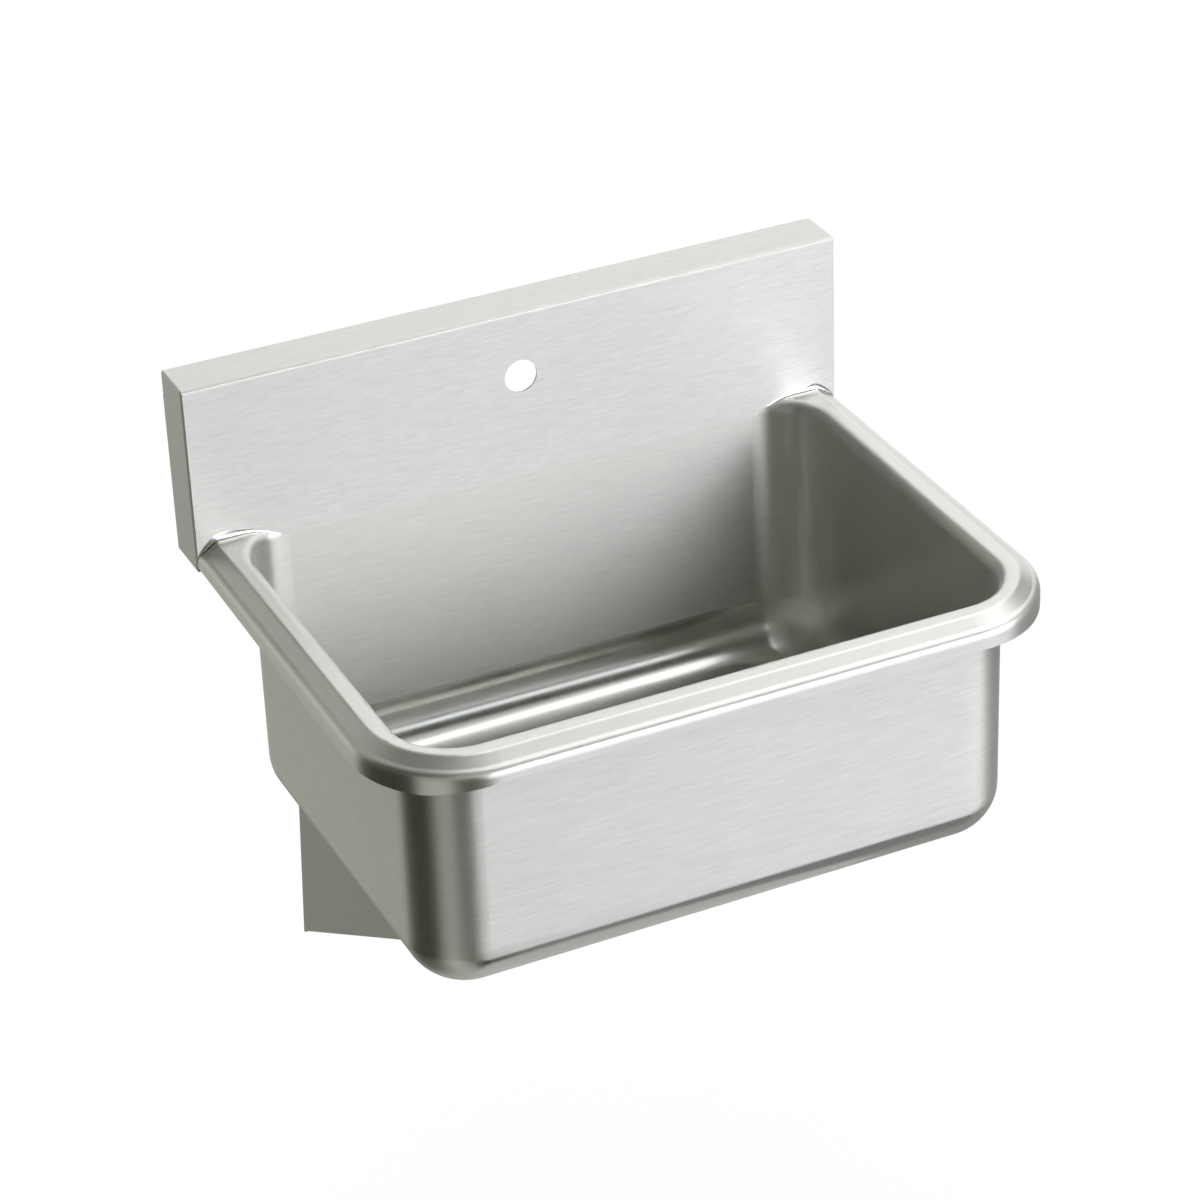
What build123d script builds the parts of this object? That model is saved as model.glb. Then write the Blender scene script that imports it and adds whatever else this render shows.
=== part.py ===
from build123d import *
import os
from math import atan2, cos, radians, sin, sqrt, tan

# A wall-hung scrub sink in stainless sheet, in millimetres.
# +Z is up, +Y points into the wall and +X is to the right of a person who stands at the sink.
# The wall is the plane Y = 0. The origin is the middle of the wall hanger's line of screw holes.

# Sheet and plate thicknesses
sheet = 1.9
plate = 2.66

# Gaps between pieces that are put together
seat_gap = 0.3
thread_gap = 0.1
slip_gap = 0.3

# Bowl, measured inside
bowl_width = 558.8
bowl_reach = 406.4
bowl_depth = 254.0
front_corner = 53.0
rear_corner = 49.0
cove = 47.0
cove_margin = 2.0

# Rim: its crown runs round the bowl and slopes down to a crease, and a shoulder bends into the lip
rim_width = 38.1
inner_edge = 10.5
crown_start = 18.6
crown_round = 7.0
crease_drop = 7.7
crease_round = 10.0
shoulder_width = 6.8
shoulder_drop = 10.2
lip_bend = 8.0
lip_corner = 99.0
lip_drop = 29.0
lip_drop_rear = 20.5
lip_drop_front_left = 20.5
lip_drop_front_right = 25.4
lip_rise_width = 70.0
rim_overlap = 2.0
rim_thinnest_end = 0.6
rear_run = 5.0
lip_notch_depth = 1.5

# Backsplash
backsplash_depth = 50.8
backsplash_rise = 152.4
backsplash_skirt = 25.4
backsplash_bend = 4.0
hook_flange = 24.2
end_round = 1.2
notch_gap = 1.0
faucet_hole = 31.75
faucet_hole_rise = 88.9

# End caps
cap_flange = 14.0
cap_bend = 3.0

# Rim welds: highest and deepest over the crown, and lower along the shoulder and the inner tail
weld_start = 3.5
weld_start_rise = -3.0
weld_start_reach = 6.0
weld_shoulder_rise = 1.5
weld_shoulder_reach = 7.5
weld_rise = 9.7
weld_reach = 9.0
weld_inner_rise = 9.0
weld_inner_gap = 1.5
weld_bowl_run = 8.5
weld_bowl_rise = 5.5
weld_bowl_reach = 6.0
weld_tail_run = 21.5
weld_tail_rise = 0.9
weld_tail_reach = 2.5
weld_tail_drop = 1.0
weld_hollow = 0.3

# Wall hanger
hanger_end_gap = 57.5
hanger_below_line = 11.0
hanger_above_line = 9.0
hanger_top_gap = 4.5
hanger_bend = 45.0
hanger_hole = 7.2
hanger_hole_places = (-203.2, -101.6, 101.6, 203.2)

# Support brackets
bracket_inset = 56.0
bracket_lean = 2.35
bracket_drop = 214.1
bracket_front_gap = 105.2
bracket_nose = 12.0
bracket_flange = 38.1
bracket_hole = 8.8
bracket_hole_inset = 15.4
bracket_hole_top_gap = 46.0
bracket_hole_foot_gap = 38.1

# Studs, washers and nuts that hold the brackets to the bowl
stud_radius = 3.9
stud_length = 22.0
stud_chamfer = 0.65
stud_hole_gap = 0.6
rear_stud_from_wall = 140.0
front_stud_inset = 32.0
washer_radius = 9.0
washer_thickness = 1.6
nut_width = 12.7
nut_height = 6.7

# Drain
drain_from_wall = 203.2
recess_gap = 2.85
recess_depth = 3.0
drain_hole_gap = 1.5
strainer_flange = 57.15
strainer_flange_thickness = 1.5
strainer_flange_round = 0.5
cup_radius = 39.5
cup_wall = 3.5
cup_depth = 40.0
cup_floor = 3.0
port_radius = 30.0
cone_height = 10.0
nozzle_radius = 24.0
nozzle_bore = 20.2
nozzle_length = 6.0
bar_width = 4.0
hub_wall = 3.3
hub_gap = 0.6
gasket_radius = 56.0
gasket_thickness = 3.0
friction_radius = 55.0
friction_thickness = 1.0
locknut_radius = 54.0
locknut_height = 12.0
locknut_notches = 8
locknut_notch = 7.0

# Basket, with its post and stopper
basket_gap = 3.0
basket_wall = 0.8
basket_rim_gap = 0.9
basket_rim_thickness = 1.2
basket_rim_depth = 3.8
slot_width = 2.5
slot_height = 14.0
slot_count = 24
floor_hole = 4.0
floor_hole_rings = ((12.0, 8), (20.0, 12), (28.0, 16))
stopper_seat = 3.0
stopper_thickness = 4.0
stopper_round = 1.0
post_radius = 2.6
post_collar_radius = 5.0
post_collar_height = 2.0
post_height = 22.0
post_tip = 3.0
knob_radius = 8.0
knob_height = 9.0
knob_round = 2.5

# Tailpiece and its coupling
tail_radius = 19.05
tail_wall = 1.2
tail_length = 88.9
tail_flange_inset = 0.4
tail_flange_thickness = 1.5
tail_washer_thickness = 2.0
coupling_wall = 6.0
coupling_grip = 6.0
coupling_lip = 3.0
coupling_gap = 0.75
coupling_flats = 8

# Levels and planes that follow from these sizes
hook_bottom = hanger_above_line + sheet + seat_gap
crown = hook_bottom + hook_flange - backsplash_rise
back = -backsplash_depth
front = back - bowl_reach
side = bowl_width / 2
half_width = side + rim_width
basin_top = crown - inner_edge
floor = crown - bowl_depth
basin_bottom = floor - sheet
backsplash_top = crown + backsplash_rise
backsplash_bottom = crown - backsplash_skirt
drain = -drain_from_wall
rear_corner_x = side - rear_corner
bowl_cove = min(cove, front_corner - cove_margin, rear_corner - cove_margin)
shoulder_lean = atan2(shoulder_drop - crease_drop, shoulder_width)
crown_lean = atan2(crease_drop, crown_start - shoulder_width)
crease_lean = (shoulder_lean + crown_lean) / 2
crease_reach = sheet / cos((crown_lean - shoulder_lean) / 2)

os.makedirs("parts", exist_ok=True)


def save(piece, name):
    piece.part.label = name
    export_step(piece.part, f"parts/{name}.step")


def bowl_plan(grow, height):
    # The bowl's outline seen from above, moved out by grow, with its four corners rounded.
    with BuildSketch(Plane.XY.offset(height)) as plan:
        with Locations((0, (front + back) / 2)):
            Rectangle(bowl_width + 2 * grow, bowl_reach + 2 * grow)
        fillet(plan.vertices().group_by(Axis.Y)[0], front_corner + grow)
        fillet(plan.vertices().group_by(Axis.Y)[-1], rear_corner + grow)
    return plan.sketch


def bowl_form(grow):
    # The bowl as a full block, coved at the bottom. The wall is what lies between two of them.
    with BuildPart() as form:
        extrude(bowl_plan(grow, basin_top), amount=floor - grow - basin_top)
        fillet(form.faces().sort_by(Axis.Z)[0].outer_wire().edges(), bowl_cove + grow)
    return form.part


def drain_profile(points):
    # A half outline as (radius, height) points, beside the drain's axis.
    with BuildSketch(Plane((0, drain, 0), x_dir=(1, 0, 0), z_dir=(0, -1, 0))) as profile:
        with BuildLine():
            Polyline(*points, close=True)
        make_face()
    return profile.sketch


drain_axis = Axis((0, drain, 0), (0, 0, 1))

# Basin: the drawn bowl, with a pressed recess round the drain hole
outer_bowl = bowl_form(sheet)
inner_bowl = bowl_form(0)
recess_floor = floor - recess_depth
recess_bottom = recess_floor - sheet
recess_radius = strainer_flange + recess_gap
sleeve = cup_radius + cup_wall
with BuildPart() as basin:
    add(outer_bowl)
    with BuildSketch(Plane.XY.offset(recess_bottom)):
        with Locations((0, drain)):
            Circle(recess_radius + sheet)
    extrude(amount=recess_depth + sheet)
    add(inner_bowl, mode=Mode.SUBTRACT)
    with BuildSketch(Plane.XY.offset(recess_floor)):
        with Locations((0, drain)):
            Circle(recess_radius)
    extrude(amount=recess_depth, mode=Mode.SUBTRACT)
    with BuildSketch(Plane.XY.offset(recess_bottom)):
        with Locations((0, drain)):
            Circle(sleeve + drain_hole_gap)
    extrude(amount=2 * sheet, mode=Mode.SUBTRACT)
save(basin, "basin")

# Rim: the outer form is swept round the front and sides, and the inner edge round the bowl
rim_end = rear_corner_x + sqrt(rear_corner**2 - (rear_corner - rim_thinnest_end) ** 2)
crown_x = rim_width + rim_overlap
with BuildPart() as rim:
    with BuildLine():
        FilletPolyline(
            (-half_width, back, crown),
            (-half_width, front - rim_width, crown),
            (half_width, front - rim_width, crown),
            (half_width, back, crown),
            radius=lip_corner,
        )
    with BuildSketch(Plane((-half_width, back, crown), x_dir=(1, 0, 0), z_dir=(0, -1, 0))):
        with BuildLine():
            FilletPolyline(
                (0, -lip_drop),
                (0, -shoulder_drop),
                (shoulder_width, -crease_drop),
                (crown_start, 0),
                (crown_x, 0),
                (crown_x, -sheet),
                (crown_start + sheet * tan(crown_lean / 2), -sheet),
                (
                    shoulder_width + crease_reach * sin(crease_lean),
                    -crease_drop - crease_reach * cos(crease_lean),
                ),
                (sheet, -shoulder_drop - sheet / cos(shoulder_lean) + sheet * tan(shoulder_lean)),
                (sheet, -lip_drop),
                radius=[
                    0,
                    lip_bend,
                    crease_round,
                    crown_round,
                    0,
                    0,
                    crown_round - sheet,
                    crease_round + sheet,
                    lip_bend - sheet,
                    0,
                ],
                close=True,
            )
        make_face()
    sweep()
    slab_x = (side + inner_edge + rim_end) / 2
    slab_width = side + inner_edge - rim_end
    with BuildSketch(Plane.XY.offset(crown - sheet)):
        with Locations((-slab_x, back - rear_corner), (slab_x, back - rear_corner)):
            Rectangle(slab_width, 2 * rear_corner)
    extrude(amount=sheet)
    extrude(bowl_plan(inner_edge, crown - inner_edge), amount=inner_edge, mode=Mode.SUBTRACT)
    with BuildLine():
        FilletPolyline(
            (-rear_corner_x + rear_run, back, crown),
            (-side, back, crown),
            (-side, front, crown),
            (side, front, crown),
            (side, back, crown),
            (rear_corner_x - rear_run, back, crown),
            radius=[rear_corner, front_corner, front_corner, rear_corner],
        )
    edge_start = Plane((-rear_corner_x + rear_run, back, crown), x_dir=(0, -1, 0), z_dir=(-1, 0, 0))
    with BuildSketch(edge_start):
        with BuildLine():
            CenterArc((-inner_edge, -inner_edge), inner_edge, 0, 90)
            Line((-inner_edge, 0), (-inner_edge, -sheet))
            CenterArc((-inner_edge, -inner_edge), inner_edge - sheet, 0, 90)
            Line((-sheet, -inner_edge), (0, -inner_edge))
        make_face()
    sweep()
    # The rear is cut flat where the rim meets the backsplash.
    with Locations((0, back, crown)):
        Box(
            2 * half_width,
            backsplash_depth,
            2 * backsplash_skirt,
            align=(Align.CENTER, Align.MIN, Align.CENTER),
            mode=Mode.SUBTRACT,
        )
        Box(2 * rim_end, 2 * inner_edge, 2 * backsplash_skirt, mode=Mode.SUBTRACT)
    # The lip hangs lowest at the front corners, and its edge rises from there to the rear and the middle.
    with BuildSketch(Plane.YZ.offset(-half_width)):
        with BuildLine():
            Polyline(
                (back, crown - lip_drop_rear),
                (front - rim_width, crown - lip_drop),
                (back, crown - lip_drop),
                close=True,
            )
        make_face()
    extrude(amount=2 * half_width, mode=Mode.SUBTRACT)
    flat_half = half_width - lip_corner
    with BuildSketch(Plane.XZ.offset(rim_width - front - lip_corner)):
        with BuildLine():
            Polyline(
                (-flat_half - lip_rise_width, crown - lip_drop),
                (-flat_half, crown - lip_drop_front_left),
                (flat_half, crown - lip_drop_front_right),
                (flat_half + lip_rise_width, crown - lip_drop),
                close=True,
            )
        make_face()
    extrude(amount=lip_corner, mode=Mode.SUBTRACT)
    # A small notch keeps the lip's ends off the backsplash.
    notch_height = 2 * (lip_drop - crease_drop + sheet)
    with Locations((-half_width, back, crown - lip_drop), (half_width, back, crown - lip_drop)):
        Box(2 * shoulder_width, 2 * lip_notch_depth, notch_height, mode=Mode.SUBTRACT)
save(rim, "rim")

# Backsplash panel: one sheet bent into a front, a top and a rear flange that hooks on the hanger
notch_half = rear_corner_x + sqrt((rear_corner + sheet) ** 2 - rear_corner**2) + notch_gap
faucet_plane = Plane((0, back, crown + faucet_hole_rise), x_dir=(1, 0, 0), z_dir=(0, -1, 0))
with BuildPart() as backsplash_panel:
    with BuildSketch(Plane.YZ.offset(-half_width)):
        with BuildLine():
            FilletPolyline(
                (back, backsplash_bottom),
                (back, backsplash_top),
                (0, backsplash_top),
                (0, backsplash_bottom),
                radius=[0, backsplash_bend, backsplash_bend, 0],
                close=True,
            )
        make_face()
    extrude(amount=2 * half_width)
    left_end, right_end = backsplash_panel.faces().filter_by(Axis.X).sort_by(Axis.X)
    end_edges = left_end.edges().sort_by(Axis.Z)[1:] + right_end.edges().sort_by(Axis.Z)[1:]
    fillet(end_edges, end_round)
    with BuildSketch(Plane.YZ.offset(-half_width)):
        with BuildLine():
            FilletPolyline(
                (back + sheet, backsplash_bottom),
                (back + sheet, backsplash_top - sheet),
                (-sheet, backsplash_top - sheet),
                (-sheet, hook_bottom),
                (0, hook_bottom),
                (0, backsplash_bottom),
                radius=[0, backsplash_bend - sheet, backsplash_bend - sheet, 0, 0, 0],
                close=True,
            )
        make_face()
    extrude(amount=2 * half_width, mode=Mode.SUBTRACT)
    with BuildSketch(Plane.XY.offset(backsplash_bottom)):
        with Locations((0, back)):
            Rectangle(2 * notch_half, 4 * sheet)
    extrude(amount=basin_top - backsplash_bottom, mode=Mode.SUBTRACT)
    with Locations(faucet_plane):
        Hole(faucet_hole / 2, depth=2 * sheet)
save(backsplash_panel, "backsplash_panel")

# End caps: each plate closes one end and has a flange that lies behind the front sheet
for hand, name in ((-1, "end_cap_left"), (1, "end_cap_right")):
    with BuildPart() as end_cap:
        with BuildSketch(Plane.XY.offset(backsplash_bottom)):
            with BuildLine():
                FilletPolyline(
                    (hand * half_width, 0),
                    (hand * half_width, back + sheet),
                    (hand * (half_width - cap_flange), back + sheet),
                    (hand * (half_width - cap_flange), back + 2 * sheet),
                    (hand * (half_width - sheet), back + 2 * sheet),
                    (hand * (half_width - sheet), 0),
                    radius=[0, cap_bend, 0, 0, cap_bend - sheet, 0],
                    close=True,
                )
            make_face()
        extrude(amount=backsplash_top - sheet - backsplash_bottom)
        with BuildSketch(Plane.YZ.offset(-half_width)):
            with BuildLine():
                FilletPolyline(
                    (back + sheet, backsplash_bottom),
                    (back + sheet, backsplash_top - sheet),
                    (-sheet, backsplash_top - sheet),
                    (-sheet, hook_bottom),
                    (0, hook_bottom),
                    (0, backsplash_bottom),
                    radius=[0, backsplash_bend - sheet, backsplash_bend - sheet, 0, 0, 0],
                    close=True,
                )
            make_face()
        extrude(amount=2 * half_width, mode=Mode.INTERSECT)
    save(end_cap, name)

# Rim welds: polished fillets where the rim runs into the backsplash.
# Each section has its distance from the rim's outer face, its height on the backsplash above the crown,
# its reach forward, and how far the rim's surface lies below the crown there.
weld_sections = (
    (weld_start, weld_start_rise, weld_start_reach, shoulder_drop),
    (shoulder_width, weld_shoulder_rise, weld_shoulder_reach, crease_drop),
    (crown_start, weld_rise, weld_reach, 0.0),
    (rim_width - inner_edge + weld_inner_gap, weld_inner_rise, weld_reach, 0.0),
    (rim_width + weld_bowl_run, weld_bowl_rise, weld_bowl_reach, 0.0),
    (rim_width + weld_tail_run, weld_tail_rise, weld_tail_reach, weld_tail_drop),
)
weld_root = 0.8 * sheet
for hand, name in ((-1, "rim_weld_left"), (1, "rim_weld_right")):
    with BuildPart() as rim_weld:
        for inset, height, reach, drop in weld_sections:
            with BuildSketch(Plane.YZ.offset(hand * (half_width - inset))):
                with BuildLine():
                    Polyline(
                        (back, crown - drop - weld_root),
                        (back, crown + height),
                        (back - weld_hollow * reach, crown - drop + weld_hollow * (height + drop)),
                        (back - reach, crown - drop),
                        (back - reach, crown - drop - weld_root),
                        close=True,
                    )
                make_face()
        loft(ruled=True)
        add(rim.part, mode=Mode.SUBTRACT)
    rim_weld.part = Part(rim_weld.part.solids().sort_by(SortBy.VOLUME)[-1:])
    save(rim_weld, name)

# Wall hanger: a screwed strip whose offset lip stands in front of the backsplash's rear flange
lip_rear = sheet + seat_gap
lip_front = lip_rear + plate
lip_foot = hanger_above_line + lip_rear / tan(radians(hanger_bend))
lip_top = backsplash_top - sheet - hanger_top_gap
bend_shift = plate * tan(radians(hanger_bend / 2))
hanger_half = half_width - hanger_end_gap
with BuildPart() as wall_hanger:
    with BuildSketch(Plane.YZ.offset(-hanger_half)):
        with BuildLine():
            Polyline(
                (0, -hanger_below_line),
                (0, hanger_above_line),
                (-lip_rear, lip_foot),
                (-lip_rear, lip_top),
                (-lip_front, lip_top),
                (-lip_front, lip_foot + bend_shift),
                (-plate, hanger_above_line + bend_shift),
                (-plate, -hanger_below_line),
                close=True,
            )
        make_face()
    extrude(amount=2 * hanger_half)
    with BuildSketch(Plane.XZ):
        with Locations(*[(place, 0) for place in hanger_hole_places]):
            Circle(hanger_hole / 2)
    extrude(amount=plate, mode=Mode.SUBTRACT)
save(wall_hanger, "wall_hanger")

# Support brackets: a leaning triangular web, a flange on the wall and a flange under the bowl
bracket_place = side - bracket_inset
bracket_reach = -front - bracket_front_gap
lean = radians(bracket_lean)
lean_shift = bracket_drop * tan(lean)
wall_hole_x = bracket_place - bracket_hole_inset
wall_hole_levels = (
    basin_bottom - bracket_hole_top_gap,
    basin_bottom - bracket_drop + bracket_hole_foot_gap,
)
stud_x = bracket_place - bracket_flange / 2
stud_rows = (-rear_stud_from_wall, front_stud_inset - bracket_reach)
stud_hole = stud_radius + stud_hole_gap
for hand, name in ((-1, "support_bracket_left"), (1, "support_bracket_right")):
    web_plane = Plane(
        (hand * bracket_place, 0, basin_bottom),
        x_dir=(0, -1, 0),
        z_dir=(-hand * cos(lean), 0, -sin(lean)),
    )
    down = -hand / cos(lean)
    with BuildPart() as bracket:
        with BuildSketch(web_plane):
            with BuildLine():
                Polyline(
                    (0, 0),
                    (bracket_reach, 0),
                    (bracket_reach, down * bracket_nose),
                    (0, down * bracket_drop),
                    close=True,
                )
            make_face()
        extrude(amount=plate)
        with BuildSketch(Plane.XZ):
            with BuildLine():
                Polyline(
                    (hand * bracket_place, basin_bottom),
                    (hand * (bracket_place + lean_shift), basin_bottom - bracket_drop),
                    (hand * (bracket_place + lean_shift - bracket_flange), basin_bottom - bracket_drop),
                    (hand * (bracket_place - bracket_flange), basin_bottom),
                    close=True,
                )
            make_face()
        extrude(amount=plate)
        with BuildSketch(Plane.XY.offset(basin_bottom)):
            with Locations((hand * stud_x, -bracket_reach / 2)):
                Rectangle(bracket_flange, bracket_reach)
        extrude(amount=-plate)
        with BuildSketch(Plane.XZ):
            with Locations(*[(hand * wall_hole_x, level) for level in wall_hole_levels]):
                Circle(bracket_hole / 2)
        extrude(amount=plate, mode=Mode.SUBTRACT)
        with BuildSketch(Plane.XY.offset(basin_bottom)):
            with Locations(*[(hand * stud_x, row) for row in stud_rows]):
                Circle(stud_hole)
        extrude(amount=-plate, mode=Mode.SUBTRACT)
    save(bracket, name)

# Studs, washers and nuts
stud_places = [(x, row) for x in (-stud_x, stud_x) for row in stud_rows]
washer_top = basin_bottom - plate
nut_top = washer_top - washer_thickness
with BuildPart() as bracket_studs:
    with BuildSketch(Plane.XY.offset(basin_bottom)):
        with Locations(*stud_places):
            Circle(stud_radius)
    extrude(amount=-stud_length)
    chamfer(bracket_studs.faces().group_by(Axis.Z)[0].edges(), stud_chamfer)
save(bracket_studs, "bracket_studs")

with BuildPart() as bracket_washers:
    with BuildSketch(Plane.XY.offset(washer_top)):
        with Locations(*stud_places):
            Circle(washer_radius)
            Circle(stud_hole, mode=Mode.SUBTRACT)
    extrude(amount=-washer_thickness)
save(bracket_washers, "bracket_washers")

with BuildPart() as bracket_nuts:
    with BuildSketch(Plane.XY.offset(nut_top)):
        with Locations(*stud_places):
            RegularPolygon(nut_width / 2, 6, major_radius=False)
            Circle(stud_radius + thread_gap, mode=Mode.SUBTRACT)
    extrude(amount=-nut_height)
save(bracket_nuts, "bracket_nuts")

# Strainer body: flange, cup, seat with cross bars, cone and threaded nozzle
flange_top = recess_floor + strainer_flange_thickness
seat = recess_floor - cup_depth
cup_bottom = seat - cup_floor
cone_bottom = cup_bottom - cone_height
nozzle_bottom = cone_bottom - nozzle_length
nozzle_wall = nozzle_radius - nozzle_bore
hub_hole = post_radius + hub_gap
with BuildPart() as strainer_body:
    revolve(
        drain_profile(
            [
                (cup_radius, flange_top),
                (strainer_flange, flange_top),
                (strainer_flange, recess_floor),
                (sleeve, recess_floor),
                (sleeve, cup_bottom),
                (port_radius + nozzle_wall, cup_bottom),
                (nozzle_radius, cone_bottom),
                (nozzle_radius, nozzle_bottom),
                (nozzle_bore, nozzle_bottom),
                (nozzle_bore, cone_bottom),
                (port_radius, cup_bottom),
                (port_radius, seat),
                (cup_radius, seat),
            ]
        ),
        axis=drain_axis,
    )
    with BuildSketch(Plane.XY.offset(cup_bottom)):
        with Locations((0, drain)):
            Rectangle(2 * port_radius + cup_wall, bar_width)
            Rectangle(bar_width, 2 * port_radius + cup_wall)
            Circle(hub_hole + hub_wall)
            Circle(hub_hole, mode=Mode.SUBTRACT)
    extrude(amount=cup_floor)
    flange_edges = strainer_body.edges().filter_by(GeomType.CIRCLE).group_by(Axis.Z)[-1]
    fillet(flange_edges, strainer_flange_round)
save(strainer_body, "strainer_body")

# Gasket, friction ring and locknut, stacked under the basin
gasket_bottom = recess_bottom - gasket_thickness
friction_bottom = gasket_bottom - friction_thickness
locknut_bottom = friction_bottom - locknut_height
with BuildPart() as strainer_gasket:
    with BuildSketch(Plane.XY.offset(recess_bottom)):
        with Locations((0, drain)):
            Circle(gasket_radius)
            Circle(sleeve + slip_gap, mode=Mode.SUBTRACT)
    extrude(amount=-gasket_thickness)
save(strainer_gasket, "strainer_gasket")

with BuildPart() as friction_ring:
    with BuildSketch(Plane.XY.offset(gasket_bottom)):
        with Locations((0, drain)):
            Circle(friction_radius)
            Circle(sleeve + slip_gap, mode=Mode.SUBTRACT)
    extrude(amount=-friction_thickness)
save(friction_ring, "friction_ring")

with BuildPart() as strainer_locknut:
    with BuildSketch(Plane.XY.offset(friction_bottom)):
        with Locations((0, drain)):
            Circle(locknut_radius)
            Circle(sleeve + thread_gap, mode=Mode.SUBTRACT)
            with PolarLocations(locknut_radius, locknut_notches):
                Circle(locknut_notch / 2, mode=Mode.SUBTRACT)
    extrude(amount=-locknut_height)
save(strainer_locknut, "strainer_locknut")

# Basket: a slotted cup that stands on its stopper
stopper_bottom = seat + seat_gap
basket_bottom = stopper_bottom + stopper_thickness
basket_top = recess_floor - basket_rim_depth
rim_underside = basket_top - basket_rim_thickness
slot_middle = (basket_bottom + rim_underside) / 2
basket_radius = cup_radius - basket_gap
basket_rim = cup_radius - basket_rim_gap
with BuildPart() as strainer_basket:
    revolve(
        drain_profile(
            [
                (0, basket_bottom),
                (basket_radius, basket_bottom),
                (basket_radius, rim_underside),
                (basket_rim, rim_underside),
                (basket_rim, basket_top),
                (basket_radius - basket_wall, basket_top),
                (basket_radius - basket_wall, basket_bottom + basket_wall),
                (0, basket_bottom + basket_wall),
            ]
        ),
        axis=drain_axis,
    )
    with BuildSketch(Plane.XY.offset(basket_bottom)):
        with Locations((0, drain)):
            Circle(post_radius + thread_gap)
            for ring, count in floor_hole_rings:
                with PolarLocations(ring, count):
                    Circle(floor_hole / 2)
    extrude(amount=basket_wall, mode=Mode.SUBTRACT)
    with Locations((0, drain, slot_middle)):
        with PolarLocations(basket_radius, slot_count):
            Box(4 * basket_wall, slot_width, slot_height, mode=Mode.SUBTRACT)
save(strainer_basket, "strainer_basket")

# Basket post: stem, collar and knob
post_bottom = cup_bottom - post_tip
collar_bottom = basket_bottom + basket_wall
knob_bottom = collar_bottom + post_height
with BuildPart() as basket_post:
    revolve(
        drain_profile(
            [
                (0, post_bottom),
                (post_radius, post_bottom),
                (post_radius, collar_bottom),
                (post_collar_radius, collar_bottom),
                (post_collar_radius, collar_bottom + post_collar_height),
                (post_radius, collar_bottom + post_collar_height),
                (post_radius, knob_bottom),
                (knob_radius, knob_bottom),
                (knob_radius, knob_bottom + knob_height),
                (0, knob_bottom + knob_height),
            ]
        ),
        axis=drain_axis,
    )
    fillet(basket_post.edges().filter_by(GeomType.CIRCLE).group_by(Axis.Z)[-1], knob_round)
save(basket_post, "basket_post")

# Stopper: the rubber disc that closes the port
with BuildPart() as basket_stopper:
    with BuildSketch(Plane.XY.offset(stopper_bottom)):
        with Locations((0, drain)):
            Circle(port_radius + stopper_seat)
            Circle(post_radius + thread_gap, mode=Mode.SUBTRACT)
    extrude(amount=stopper_thickness)
    stopper_rims = basket_stopper.edges().filter_by(GeomType.CIRCLE).sort_by(SortBy.RADIUS)[-2:]
    fillet(stopper_rims, stopper_round)
save(basket_stopper, "basket_stopper")

# Tailpiece, its flat washer and the coupling nut
washer_bottom = nozzle_bottom - tail_washer_thickness
flange_bottom = washer_bottom - tail_flange_thickness
tail_flange_radius = nozzle_radius - tail_flange_inset
tail_bottom = washer_bottom - tail_length
with BuildPart() as tailpiece:
    revolve(
        drain_profile(
            [
                (tail_radius - tail_wall, washer_bottom),
                (tail_flange_radius, washer_bottom),
                (tail_flange_radius, flange_bottom),
                (tail_radius, flange_bottom),
                (tail_radius, tail_bottom),
                (tail_radius - tail_wall, tail_bottom),
            ]
        ),
        axis=drain_axis,
    )
save(tailpiece, "tailpiece")

with BuildPart() as tailpiece_washer:
    with BuildSketch(Plane.XY.offset(nozzle_bottom)):
        with Locations((0, drain)):
            Circle(tail_flange_radius)
            Circle(nozzle_bore, mode=Mode.SUBTRACT)
    extrude(amount=-tail_washer_thickness)
save(tailpiece_washer, "tailpiece_washer")

coupling_top = nozzle_bottom + coupling_grip - seat_gap
coupling_bottom = flange_bottom - coupling_lip
with BuildPart() as tailpiece_nut:
    with BuildSketch(Plane.XY.offset(coupling_bottom)):
        with Locations((0, drain)):
            RegularPolygon(nozzle_radius + coupling_wall, coupling_flats, major_radius=False)
    extrude(amount=coupling_top - coupling_bottom)
    with BuildSketch(Plane.XY.offset(flange_bottom)):
        with Locations((0, drain)):
            Circle(nozzle_radius + thread_gap)
    extrude(amount=coupling_top - flange_bottom, mode=Mode.SUBTRACT)
    with BuildSketch(Plane.XY.offset(coupling_bottom)):
        with Locations((0, drain)):
            Circle(tail_radius + coupling_gap)
    extrude(amount=coupling_lip, mode=Mode.SUBTRACT)
save(tailpiece_nut, "tailpiece_nut")
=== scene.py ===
import math

import bmesh
import bpy
from mathutils import Matrix, Vector


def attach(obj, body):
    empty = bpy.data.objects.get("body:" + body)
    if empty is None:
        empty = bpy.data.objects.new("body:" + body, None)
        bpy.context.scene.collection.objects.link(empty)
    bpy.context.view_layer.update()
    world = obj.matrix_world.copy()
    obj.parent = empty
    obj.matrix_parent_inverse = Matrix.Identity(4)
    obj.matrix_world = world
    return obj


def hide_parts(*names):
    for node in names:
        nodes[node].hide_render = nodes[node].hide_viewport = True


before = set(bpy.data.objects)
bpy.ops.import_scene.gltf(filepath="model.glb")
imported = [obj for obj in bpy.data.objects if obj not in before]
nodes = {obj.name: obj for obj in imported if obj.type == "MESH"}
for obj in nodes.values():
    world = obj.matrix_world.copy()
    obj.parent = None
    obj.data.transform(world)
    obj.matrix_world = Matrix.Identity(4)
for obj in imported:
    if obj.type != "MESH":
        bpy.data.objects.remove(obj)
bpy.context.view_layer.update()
print("frame loaded:", len(nodes), "pieces of the sink")

# where the bowl is, in metres
bowl = {
    "halfWidth": 0.2794,
    "halfReach": 0.2032,
    "middleY": -0.254,
    "corner": 0.052,
    "wall": 0.0019,
}

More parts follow.
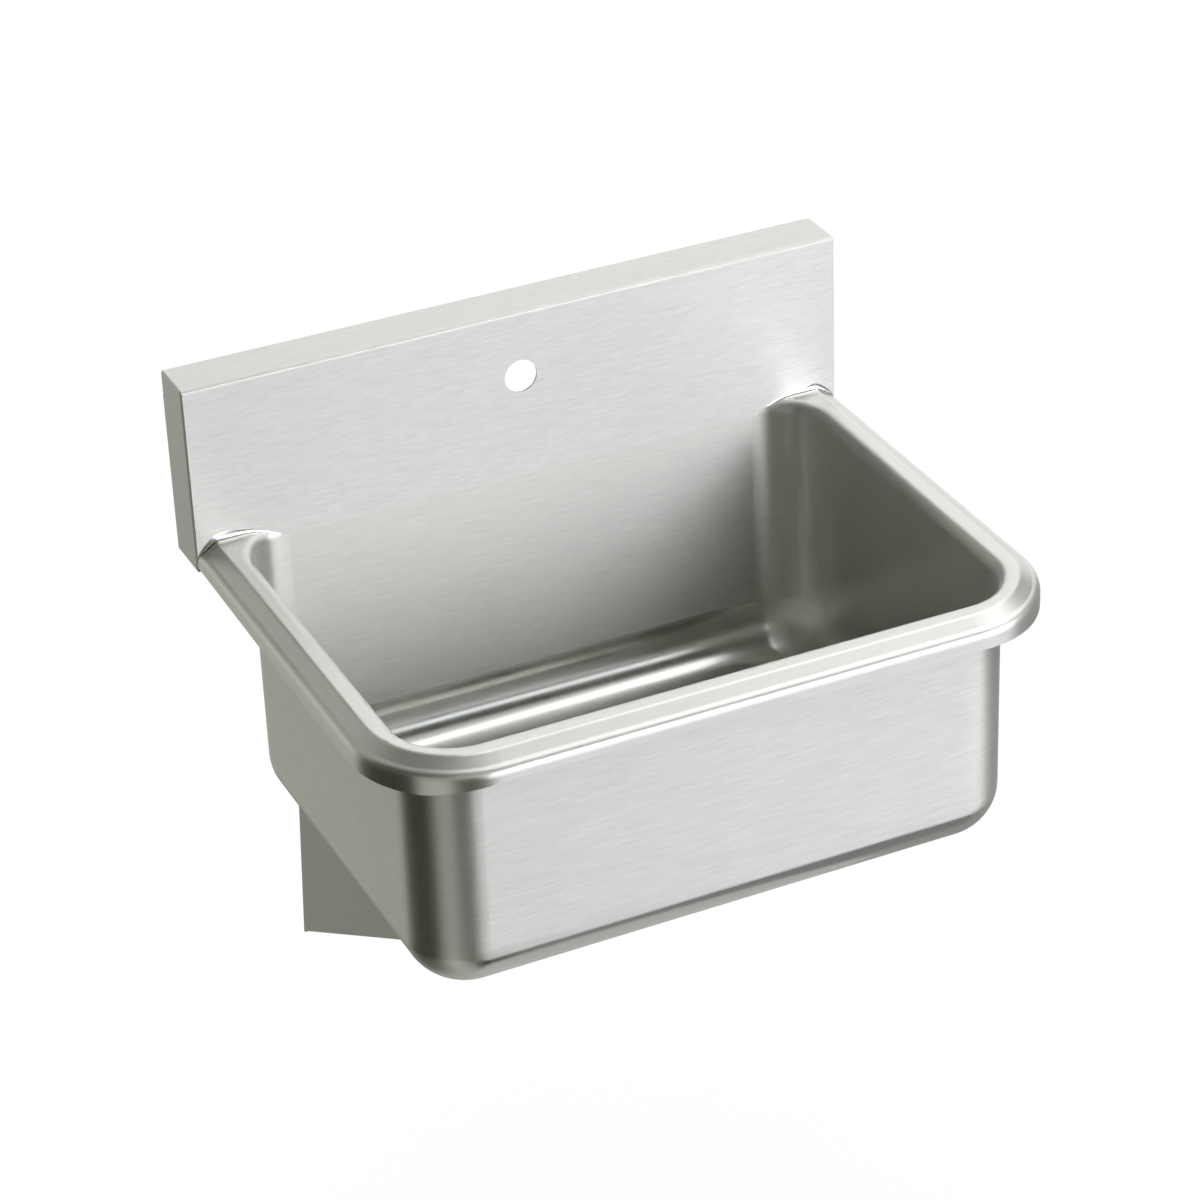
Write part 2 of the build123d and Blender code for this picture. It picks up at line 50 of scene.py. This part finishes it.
# brush lines and worn edges, the same on all the steel
brush = {
    "fineShare": 0.8,
    "longerShare": 0.2,
    "longerScale": 0.31,
    "roughTurn": 0.25,            # a quarter turn puts the highlight across the lines
    "depth": 0.00012,
    "cloudDetail": 3.0,
    "cloudRough": 0.55,
    "sideShare": 0.6,             # how fast the grain runs along x against y
    "wearFrom": 0.02,
    "wearTo": 0.25,
    "wearSamples": 4,
    "topFrom": 0.3,               # a face counts as a top from here
    "topTo": 0.8,
}


class Wire:
    # a socket that does sums: each operator adds the Math node for it

    def __init__(self, paint, socket):
        self.paint = paint
        self.socket = socket

    def calc(self, operation, *values):
        return self.paint.add("Math", {"operation": operation}, dict(enumerate(values)))

    def also(self, name):
        return Wire(self.paint, self.socket.node.outputs[name])

    def __add__(self, other):
        return self.calc("ADD", self, other)

    def __sub__(self, other):
        return self.calc("SUBTRACT", self, other)

    def __rsub__(self, other):
        return self.calc("SUBTRACT", other, self)

    def __mul__(self, other):
        return self.calc("MULTIPLY", self, other)

    def __abs__(self):
        return self.calc("ABSOLUTE", self)

    __radd__ = __add__
    __rmul__ = __mul__


class Paint:
    # one material and the nodes in it

    def __init__(self, name):
        self.material = bpy.data.materials.new(name)
        self.material.use_nodes = True
        self.tree = self.material.node_tree
        self.tree.nodes.clear()

    def add(self, kind, settings, inputs, output=0):
        node = self.tree.nodes.new("ShaderNode" + kind)
        for key, value in settings.items():
            if key == "stops":
                while len(node.color_ramp.elements) < len(value):
                    node.color_ramp.elements.new(0.5)
                for stop, (at, level) in zip(node.color_ramp.elements, value):
                    stop.position = at
                    stop.color = (level, level, level, 1)
            else:
                setattr(node, key, value)
        for key, value in inputs.items():
            if isinstance(value, Wire):
                self.tree.links.new(value.socket, node.inputs[key])
            else:
                node.inputs[key].default_value = value
        return Wire(self, node.outputs[output]) if node.outputs else node

    def place(self):
        at = self.add("TexCoord", {}, {}, "Object")
        x = self.add("SeparateXYZ", {}, {0: at}, "X")
        return at, x, x.also("Y"), x.also("Z")

    def facing(self):
        x = self.add("SeparateXYZ", {}, {0: self.add("NewGeometry", {}, {}, "Normal")}, "X")
        return x, x.also("Y"), x.also("Z")

    def vector(self, x, y, z):
        return self.add("CombineXYZ", {}, {0: x, 1: y, 2: z})

    def noise(self, vector, scale=1.0, detail=2.0, rough=0.5):
        inputs = {"Vector": vector, "Scale": scale, "Detail": detail, "Roughness": rough}
        return self.add("TexNoise", {}, inputs)

    def step(self, value, low, high, start=0.0, end=1.0):
        span = {0: value, 1: low, 2: high, 3: start, 4: end}
        return self.add("MapRange", {"interpolation_type": "SMOOTHSTEP"}, span)

    def worn(self, reach):
        # 1 along a sharp edge, where the softened normal leaves the true one, and 0 away from it
        true = self.add("NewGeometry", {}, {}, "Normal")
        softened = self.add("Bevel", {"samples": brush["wearSamples"]}, {"Radius": reach})
        lean = self.add("VectorMath", {"operation": "DOT_PRODUCT"}, {0: true, 1: softened}, "Value")
        return self.step(1.0 - lean, brush["wearFrom"], brush["wearTo"])

    def cloud(self, at, scale):
        return self.noise(at, scale, brush["cloudDetail"], brush["cloudRough"]) - 0.5

    def top(self, toZ):
        return self.step(toZ, brush["topFrom"], brush["topTo"])

    def bump(self, height, strength, distance):
        return self.add("Bump", {}, {"Height": height, "Strength": strength, "Distance": distance})

    def blend(self, amount, first, second):
        return self.add("MixShader", {}, {0: amount, 1: first, 2: second})

    def close(self, skin):
        self.add("OutputMaterial", {}, {"Surface": skin})
        return self.material


def fromBowl(p, x, y):
    # distance outwards from the bowl's outline, which follows its corners round
    flat = bowl["halfWidth"] - bowl["corner"], bowl["halfReach"] - bowl["corner"]
    overX = abs(x) - flat[0]
    overY = abs(y - bowl["middleY"]) - flat[1]
    roundX = overX.calc("MAXIMUM", overX, 0.0)
    roundY = overY.calc("MAXIMUM", overY, 0.0)
    square = roundX * roundX + roundY * roundY
    reach = square.calc("SQRT", square)
    inside = overX.calc("MINIMUM", overX.calc("MAXIMUM", overX, overY), 0.0)
    return reach + inside - bowl["corner"]


def levelGrain(p, x, y, z, look):
    # steep across the lines and slow along them, and it follows the bowl round its corners
    out = fromBowl(p, x, y)
    run = (x * brush["sideShare"] + y) * look["along"]
    return out, p.vector(out * look["across"], z * look["across"], run)


def brushed(p, grain, at, look, calm=1.0):
    # the lines, and the tone and roughness that go with them, the clouds and the worn edges
    fine = p.noise(grain, rough=0.6)
    longer = p.noise(grain, brush["longerScale"], detail=1.0)
    cloud = p.cloud(at, look["cloudScale"])
    lines = (fine * brush["fineShare"] + longer * brush["longerShare"] - 0.5) * calm
    tone = 1.0 + lines * look["lineTone"] + cloud * look["cloudTone"]
    rough = look["rough"] + lines * look["lineRough"] + cloud * look["cloudRough"]
    if look["edge"]:
        worn = p.worn(look["edge"])
        tone = tone + worn * look["edgeTone"]
        rough = rough - worn * look["edgePolish"]
    return lines, tone, rough


def toned(p, tone, colour):
    return p.add("VectorMath", {"operation": "SCALE"}, {0: colour, "Scale": tone})


def metal(p, look, tone, rough, lines, stretch=0.0):
    return p.add("BsdfPrincipled", {}, {
        "Base Color": toned(p, tone, look["colour"]),
        "Metallic": 1.0,
        "Roughness": rough,
        "Anisotropic": stretch,
        "Anisotropic Rotation": brush["roughTurn"],
        "Normal": p.bump(lines, look["bump"], brush["depth"]),
    })


splashLook = {
    "colour": (0.775, 0.78, 0.748),
    "rough": 0.55,
    "topRough": 0.42,
    "stretch": 0.9,
    "topTone": 0.97,
    "across": 760.0,
    "along": 60.0,
    "lineTone": 0.38,
    "lineRough": 0.20,
    "cloudScale": 14.0,
    "cloudTone": 0.06,
    "cloudRough": 0.06,
    "edge": 0.0012,
    "edgeTone": 0.05,
    "edgePolish": 0.12,
    "bump": 0.5,
}


def splashSteel():
    p = Paint("splashSteel")
    at, x, y, z = p.place()
    toX, toY, toZ = p.facing()
    grain = p.vector(x * splashLook["along"], y * splashLook["across"], z * splashLook["across"])
    lines, tone, rough = brushed(p, grain, at, splashLook)
    face = metal(p, splashLook, tone, rough, lines, splashLook["stretch"])
    topRough = rough + (splashLook["topRough"] - splashLook["rough"])
    top = metal(p, splashLook, tone * splashLook["topTone"], topRough, lines)
    return p.close(p.blend(p.top(toZ), face, top))


capLook = dict(splashLook, colour=(0.72, 0.725, 0.695), rough=0.36, along=120.0, lineTone=0.08,
               bump=0.2, stretch=0.3)


def capSteel():
    p = Paint("capSteel")
    at, x, y, z = p.place()
    grain = p.vector(x * capLook["across"], y * capLook["along"], z * capLook["across"])
    lines, tone, rough = brushed(p, grain, at, capLook)
    return p.close(metal(p, capLook, tone, rough, lines, capLook["stretch"]))


bowlLook = {
    "colour": (0.755, 0.76, 0.722),
    "rough": 0.55,
    "sideRough": 0.30,
    "sideCalm": 0.8,              # how much of the lines the side walls lose
    "coveRough": 0.19,
    "coveLines": 0.06,
    "coveCloud": 0.05,
    "cornerRough": 0.26,
    "coveScale": 30.0,
    "stretch": 0.9,
    "across": 740.0,
    "along": 55.0,
    "lineTone": 0.38,
    "lineRough": 0.20,
    "cloudScale": 16.0,
    "cloudTone": 0.06,
    "cloudRough": 0.06,
    "edge": 0.0,
    "bump": 0.5,
}


def bowlSteel():
    p = Paint("bowlSteel")
    at, x, y, z = p.place()
    toX, toY, toZ = p.facing()
    out, grain = levelGrain(p, x, y, z, bowlLook)
    inner = 1.0 - p.step(out, bowl["wall"] * 0.3, bowl["wall"] * 0.7)
    cove = inner * p.step(abs(toZ), 0.01, 0.12)       # cove and floor are polished, not brushed
    sideways = inner * p.step(abs(toX), 0.12, 0.6)    # the side walls are smoother than the back
    lines, tone, rough = brushed(p, grain, at, bowlLook, 1.0 - sideways * bowlLook["sideCalm"])
    wallRough = rough + sideways * (bowlLook["sideRough"] - bowlLook["rough"])
    walls = metal(p, bowlLook, tone, wallRough, lines, bowlLook["stretch"])
    cloud = p.cloud(at, bowlLook["coveScale"])
    corner = p.step(abs(toX), 0.02, 0.35) * bowlLook["cornerRough"]
    coveRough = bowlLook["coveRough"] + corner + cloud * bowlLook["coveRough"] * 0.5 + lines * 0.03
    coveTone = 1.0 + cloud * bowlLook["coveCloud"] + lines * bowlLook["coveLines"]
    polished = metal(p, bowlLook, coveTone, coveRough, lines * bowlLook["coveLines"])
    return p.close(p.blend(cove, walls, polished))


rimLook = {
    "colour": (0.79, 0.795, 0.765),
    "rough": 0.42,
    "crownRough": 0.36,
    "crownLines": 0.05,
    "stretch": 0.95,
    "across": 600.0,
    "along": 30.0,
    "lineTone": 0.16,
    "lineRough": 0.12,
    "cloudScale": 22.0,
    "cloudTone": 0.05,
    "cloudRough": 0.05,
    "edge": 0.0,
    "bump": 0.2,
}


def rimSteel():
    p = Paint("rimSteel")
    at, x, y, z = p.place()
    toX, toY, toZ = p.facing()
    out, grain = levelGrain(p, x, y, z, rimLook)
    lines, tone, rough = brushed(p, grain, at, rimLook)
    face = metal(p, rimLook, tone, rough, lines, rimLook["stretch"])
    crownRough = rough + (rimLook["crownRough"] - rimLook["rough"])
    crown = metal(p, rimLook, tone, crownRough, lines * rimLook["crownLines"])
    return p.close(p.blend(p.top(toZ), face, crown))


weldLook = dict(rimLook, rough=0.24, across=300.0, lineTone=0.02, lineRough=0.03, bump=0.05)


def weldSteel():
    p = Paint("weldSteel")
    at, x, y, z = p.place()
    grain = p.vector(x * weldLook["across"], y * weldLook["across"], z * weldLook["across"])
    lines, tone, rough = brushed(p, grain, at, weldLook)
    return p.close(metal(p, weldLook, tone, rough, lines))


bracketLook = dict(splashLook, colour=(0.55, 0.56, 0.52), rough=0.42, across=400.0, along=30.0,
                   lineTone=0.08, cloudTone=0.08)


def bracketSteel():
    p = Paint("bracketSteel")
    at, x, y, z = p.place()
    steep = bracketLook["across"]
    grain = p.vector(x * steep, y * bracketLook["along"], z * steep)
    lines, tone, rough = brushed(p, grain, at, bracketLook)
    return p.close(metal(p, bracketLook, tone, rough, lines))


def plainMetal(name, colour, rough, lineTone=0.05):
    look = dict(splashLook, colour=colour, rough=rough, across=500.0, lineTone=lineTone, lineRough=0.1,
                cloudScale=60.0, bump=0.1, edge=0.0006, edgePolish=rough * 0.4)
    p = Paint(name)
    at, x, y, z = p.place()
    grain = p.vector(x * look["across"], y * look["across"], z * look["across"])
    lines, tone, roughness = brushed(p, grain, at, look)
    return p.close(metal(p, look, tone, roughness, lines))


stuffLook = {
    "cloudShare": 0.07,           # how much coarser the clouds are than the specks
    "edge": 0.0008,
    "edgeTone": 0.25,
    "edgePolish": 0.1,
    "speckRough": 0.15,
    "bump": 0.3,
    "depth": 0.0002,
}


def plainStuff(name, colour, rough, grainScale, grainTone):
    p = Paint(name)
    at, x, y, z = p.place()
    speck = p.noise(at, grainScale, 3.0, 0.6)
    cloud = p.noise(at, grainScale * stuffLook["cloudShare"])
    worn = p.worn(stuffLook["edge"])
    tone = 1.0 + (speck - 0.5) * grainTone + (cloud - 0.5) * grainTone + worn * stuffLook["edgeTone"]
    return p.close(p.add("BsdfPrincipled", {}, {
        "Base Color": toned(p, tone, colour),
        "Roughness": rough + (speck - 0.5) * stuffLook["speckRough"] - worn * stuffLook["edgePolish"],
        "Normal": p.bump(speck, stuffLook["bump"], stuffLook["depth"]),
    }))


paints = {
    "splash": splashSteel(),
    "cap": capSteel(),
    "bowl": bowlSteel(),
    "rim": rimSteel(),
    "weld": weldSteel(),
    "bracket": bracketSteel(),
    "hanger": plainMetal("hangerZinc", (0.58, 0.60, 0.62), 0.42, 0.12),
    "fastener": plainMetal("fastenerSteel", (0.60, 0.60, 0.60), 0.30),
    "strainer": plainMetal("strainerSteel", (0.72, 0.72, 0.71), 0.14),
    "basket": plainMetal("basketSteel", (0.72, 0.72, 0.71), 0.16),
    "tail": plainMetal("tailChrome", (0.76, 0.77, 0.78), 0.08, 0.02),
    "locknut": plainMetal("locknutDieCast", (0.58, 0.58, 0.59), 0.45, 0.15),
    "rubber": plainStuff("blackRubber", (0.035, 0.035, 0.036), 0.62, 900.0, 0.5),
    "fibre": plainStuff("pressedFibre", (0.55, 0.38, 0.22), 0.80, 1200.0, 0.6),
    "washer": plainStuff("whitePlastic", (0.78, 0.78, 0.75), 0.42, 500.0, 0.08),
}

wearsPaint = {
    "basin": "bowl",
    "rim": "rim",
    "backsplash_panel": "splash",
    "end_cap_left": "cap",
    "end_cap_right": "cap",
    "rim_weld_left": "weld",
    "rim_weld_right": "weld",
    "support_bracket_left": "bracket",
    "support_bracket_right": "bracket",
    "wall_hanger": "hanger",
    "bracket_studs": "fastener",
    "bracket_washers": "fastener",
    "bracket_nuts": "fastener",
    "strainer_body": "strainer",
    "strainer_gasket": "rubber",
    "friction_ring": "fibre",
    "strainer_locknut": "locknut",
    "strainer_basket": "basket",
    "basket_post": "basket",
    "basket_stopper": "rubber",
    "tailpiece": "tail",
    "tailpiece_washer": "washer",
    "tailpiece_nut": "tail",
}

for name, piece in nodes.items():
    for holder in piece.material_slots:
        holder.material = paints[wearsPaint[name]]
print("materials on:", len(paints))


rimWeld = {
    "back": -0.0508,
    "crown": -0.117,
    "cornerMiddle": 0.2304,       # where the bowl's rear corner turns from
    "cornerRadius": 0.049,
    "innerRoll": 0.0105,
    "side": 0.2794,
    "crownFlat": 0.01742,
    "crownRound": 0.0070,
    "slopeStart": 0.02124,
    "slope": (0.0195, 0.6525),    # where its line meets the crown, and its fall
    "crease": (0.0313, 0.0077),
    "shoulderFall": 0.3676,
    "lipStart": 0.03286,
    "lipMiddle": (0.0301, 0.01578),
    "lipBend": 0.0080,
    # outer end to inner end: the place across, its top over the crown, its reach to the front
    "rows": (
        (0.3160, -0.0085, 0.0040),
        (0.3135, -0.0045, 0.0052),
        (0.3105, -0.0005, 0.0064),
        (0.3070, 0.0030, 0.0074),
        (0.3030, 0.0060, 0.0082),
        (0.2985, 0.0082, 0.0088),
        (0.2930, 0.0095, 0.0091),
        (0.2870, 0.0098, 0.0092),
        (0.2800, 0.0088, 0.0088),
        (0.2720, 0.0068, 0.0080),
        (0.2640, 0.0045, 0.0069),
        (0.2560, 0.0018, 0.0052),
        (0.2490, -0.0013, 0.0034),
        (0.2440, -0.0038, 0.0020),
        (0.2415, -0.0052, 0.0010),
    ),
    "grid": (120, 24),
    "hollow": 2.2,
    "smoothing": 3,
    "sharp": 40,
    "sink": 0.00004,
    "thick": 0.0012,
}


def rimHeight(x, y):
    # the rim's surface over the point x, y beside the backsplash, from the crown
    s = rimWeld
    over = abs(x) - s["side"]
    if over > s["lipStart"]:
        across = over - s["lipMiddle"][0]
        return math.sqrt(max(s["lipBend"] ** 2 - across ** 2, 0)) - s["lipMiddle"][1]
    if over > s["crease"][0]:
        return (s["crease"][0] - over) * s["shoulderFall"] - s["crease"][1]
    if over > s["slopeStart"]:
        return (s["slope"][0] - over) * s["slope"][1]
    if over > s["crownFlat"]:
        return math.sqrt(s["crownRound"] ** 2 - (over - s["crownFlat"]) ** 2) - s["crownRound"]
    roundX = max(abs(x) - s["cornerMiddle"], 0)
    roundY = y - (s["back"] - s["cornerRadius"])
    out = math.hypot(roundX, roundY) - s["cornerRadius"]
    if out > s["innerRoll"]:
        return 0.0
    inside = s["innerRoll"] - max(out, 0)
    return math.sqrt(s["innerRoll"] ** 2 - inside ** 2) - s["innerRoll"]


def between(rows, at):
    # top and reach at a place between the rows, whose places fall from first to last
    for above, below in zip(rows, rows[1:]):
        if at >= below[0]:
            part = (above[0] - at) / (above[0] - below[0])
            return [a + (b - a) * part for a, b in zip(above[1:], below[1:])]
    return rows[-1][1:]


def rimWeldPiece(name, hand):
    s = rimWeld
    bm = bmesh.new()
    bmesh.ops.create_grid(bm, x_segments=s["grid"][0], y_segments=s["grid"][1], size=0.5)
    start, stop = s["rows"][0][0], s["rows"][-1][0]
    for v in bm.verts:
        x = start + (stop - start) * (v.co.x + 0.5)
        part = v.co.y + 0.5
        top, reach = between(s["rows"], x)
        fold = rimHeight(x, s["back"])
        end = rimHeight(x, s["back"] - reach)
        high, low = (1 - part) ** s["hollow"], part ** s["hollow"]
        height = high * top + (1 - high - low) * fold + low * end
        v.co = (hand * x, s["back"] - low * reach, s["crown"] + height)
    inner = [v for v in bm.verts if not v.is_boundary]
    for i in range(s["smoothing"]):
        bmesh.ops.smooth_vert(bm, verts=inner, factor=0.5, use_axis_x=False, use_axis_y=True, use_axis_z=True)
    bmesh.ops.translate(bm, verts=bm.verts, vec=(0, s["sink"], -s["sink"]))
    if sum(f.normal.z for f in bm.faces) < 0:
        bmesh.ops.reverse_faces(bm, faces=bm.faces)
    bm.normal_update()
    bmesh.ops.solidify(bm, geom=bm.faces, thickness=s["thick"])
    bmesh.ops.recalc_face_normals(bm, faces=bm.faces)
    for f in bm.faces:
        f.smooth = True
    mesh = bpy.data.meshes.new(name)
    bm.to_mesh(mesh)
    bm.free()
    mesh.set_sharp_from_angle(angle=math.radians(s["sharp"]))
    piece = bpy.data.objects.new(name, mesh)
    bpy.context.collection.objects.link(piece)
    mesh.materials.append(paints["weld"])
    return piece


for hand, side in ((-1, "left"), (1, "right")):
    piece = rimWeldPiece("weld_fillet_" + side, hand)
    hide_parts("rim_weld_" + side)
    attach(piece, "sink")
print("rim welds made")


studio = {
    "centre": (0.0, -0.254, -0.25),
    "floorZ": -0.98,
    "floorSize": 40.0,
    "cardReach": 6.0,
    "cardFloorGap": 0.004,
    "white": 1.0,
    "floorPlain": (0.80, 0.80, 0.79, 1),    # what lights the sink
    "floorShade": (0.35, 0.35, 0.35, 1),    # what the camera and the reflections see of it
    "floorGlow": 0.68,
}

# cards that only the steel's reflections see: azimuth from the front to the right, and elevation,
# both from and to in degrees, then level and tint
cards = {
    "cardLeftRearLow": ((-180, -120), (-60, -12), 0.39, (0.98, 1.0, 0.91)),
    "cardLeftRear": ((-180, -120), (-12, 22), 0.64, (0.98, 1.0, 0.91)),
    "cardRearEdge": ((-180, -163), (22, 60), 0.2, (0.98, 1.0, 0.88)),
    "cardLeftRearUp": ((-163, -120), (22, 60), 0.36, (0.98, 1.0, 0.88)),
    "cardLeft": ((-120, -62), (-60, 60), 0.05, (0.97, 1.0, 0.68)),
    "cardFrontLeftLow": ((-62, -33), (-60, -10), 0.60, (0.98, 1.0, 0.90)),
    "cardFrontLeft": ((-62, -33), (-10, 28), 0.55, (0.98, 1.0, 0.92)),
    "cardFrontLeftUp": ((-62, -33), (28, 60), 0.02, (0.97, 1.0, 0.75)),
    "cardFront": ((-33, 2), (-60, 14), 0.05, (0.97, 1.0, 0.72)),
    "cardFrontUp": ((-33, 2), (14, 60), 0.28, (0.98, 1.0, 0.80)),
    "cardFloorRight": ((2, 62), (-60, 4), 0.23, (0.99, 1.0, 1.02)),
    "softboxFoot": ((2, 62), (4, 12), 3.4, (0.99, 1.0, 1.04)),
    "softbox": ((2, 62), (12, 20), 5.6, (0.99, 1.0, 1.04)),
    "softboxHigh": ((2, 62), (20, 27), 6.2, (0.99, 1.0, 1.04)),
    "softboxTop": ((2, 62), (27, 33), 0.6, (0.99, 1.0, 1.04)),
    "cardGap": ((2, 62), (33, 38), 0.06, (0.99, 1.0, 0.96)),
    "stripLight": ((2, 62), (38, 45), 1.5, (0.96, 0.99, 1.02)),
    "cardOverFront": ((2, 62), (45, 53), 0.05, (0.98, 1.0, 0.80)),
    "cardOverFrontUp": ((2, 62), (53, 61), 0.04, (0.98, 1.0, 0.80)),
    "cardTopLeft": ((-180, 0), (60, 89), 0.2, (0.99, 1.0, 0.94)),
    "cardTopRight": ((0, 62), (61, 89), 0.56, (0.99, 1.0, 0.99)),
    "cardRightLow": ((62, 120), (-60, 5), 0.32, (0.99, 1.0, 0.97)),
    "cardRight": ((62, 120), (5, 38), 0.3, (0.99, 1.0, 0.97)),
    "cardRightUp": ((62, 120), (38, 89), 1.7, (1.0, 1.0, 0.99)),
    "cardRightRearLow": ((120, 180), (-60, -8), 0.6, (0.99, 1.0, 0.97)),
    "cardRightRearUp": ((120, 180), (-8, 89), 1.03, (1.0, 1.0, 0.99)),
    # a grey sheet just over the floor, straight under the sink: a painted shadow of the sink on the floor,
    # seen only in the steel's reflections
    "cardBelowPaintedShadow": ((-180, 180), (-89, -60), 0.5, (0.99, 1.0, 0.97)),
}


def cardPaint(name, level, tint):
    p = Paint(name)
    glow = p.add("Emission", {}, {0: (*tint, 1), 1: level})
    p.add("OutputMaterial", {}, {"Surface": glow})
    p.material.cycles.emission_sampling = "NONE"
    return p.material


def card(name, azimuth, elevation, level, tint):
    # a sheet bent round the sink, or flat on the floor where it would go below it
    bm = bmesh.new()
    bmesh.ops.create_grid(bm, x_segments=24, y_segments=24, size=0.5)
    middle = Vector(studio["centre"])
    drop = middle.z - studio["floorZ"] - studio["cardFloorGap"]
    for v in bm.verts:
        turn = math.radians(azimuth[0] + (azimuth[1] - azimuth[0]) * (v.co.x + 0.5))
        rise = math.radians(elevation[0] + (elevation[1] - elevation[0]) * (v.co.y + 0.5))
        way = Vector((math.sin(turn) * math.cos(rise), -math.cos(turn) * math.cos(rise), math.sin(rise)))
        reach = studio["cardReach"]
        if way.z < 0:
            reach = min(reach, drop / -way.z)
        v.co = middle + way * reach
    mesh = bpy.data.meshes.new(name)
    bm.to_mesh(mesh)
    bm.free()
    piece = bpy.data.objects.new(name, mesh)
    bpy.context.collection.objects.link(piece)
    mesh.materials.append(cardPaint(name, level, tint))
    piece.visible_camera = False
    piece.visible_diffuse = False
    piece.visible_shadow = False
    piece.visible_transmission = False


for name, (azimuth, elevation, level, tint) in cards.items():
    card(name, azimuth, elevation, level, tint)


def floorPaint():
    p = Paint("studioFloor")
    path = p.add("LightPath", {}, {}, "Is Camera Ray")
    mirrored = path.calc("MAXIMUM", path.also("Is Glossy Ray"), path.also("Is Transmission Ray"))
    shown = path.calc("MAXIMUM", path, mirrored)
    plain = p.add("BsdfDiffuse", {}, {0: studio["floorPlain"]})
    shade = p.add("BsdfDiffuse", {}, {0: studio["floorShade"]})
    glow = p.add("Emission", {}, {0: (1, 1, 1, 1), 1: studio["floorGlow"]})
    white = p.add("AddShader", {}, {0: shade, 1: glow})
    both = p.add("MixShader", {}, {0: shown, 1: plain, 2: white})
    p.add("OutputMaterial", {}, {"Surface": both})
    return p.material


floorMesh = bpy.data.meshes.new("studioFloor")
bm = bmesh.new()
bmesh.ops.create_grid(bm, x_segments=1, y_segments=1, size=studio["floorSize"] / 2)
bmesh.ops.translate(bm, verts=bm.verts, vec=(0, 0, studio["floorZ"]))
bm.to_mesh(floorMesh)
bm.free()
floor = bpy.data.objects.new("studioFloor", floorMesh)
bpy.context.collection.objects.link(floor)
floorMesh.materials.append(floorPaint())

world = bpy.data.worlds.new("studioWhite")
world.use_nodes = True
world.node_tree.nodes["Background"].inputs[0].default_value = (1, 1, 1, 1)
world.node_tree.nodes["Background"].inputs[1].default_value = studio["white"]
bpy.context.scene.world = world

camera = {
    "place": (-1.216553, -2.908161, 1.548701),
    "azimuth": -24.2176,
    "elevation": 30.2634,
    "roll": -2.3056,
    "lens": 116.6377,
    "sensor": 36.0,
    "clip": 60.0,
}


def addCamera():
    eye = bpy.data.cameras.new("photoCamera")
    eye.lens = camera["lens"]
    eye.sensor_width = camera["sensor"]
    eye.sensor_fit = "HORIZONTAL"
    eye.clip_end = camera["clip"]
    piece = bpy.data.objects.new("photoCamera", eye)
    bpy.context.collection.objects.link(piece)
    turn = Matrix.Rotation(math.radians(camera["azimuth"]), 4, "Z")
    tilt = Matrix.Rotation(math.radians(90 - camera["elevation"]), 4, "X")
    roll = Matrix.Rotation(math.radians(camera["roll"]), 4, "Z")
    piece.matrix_world = Matrix.Translation(camera["place"]) @ turn @ tilt @ roll
    bpy.context.scene.camera = piece


addCamera()
bpy.context.scene.view_settings.view_transform = "Standard"
print("studio and camera set")
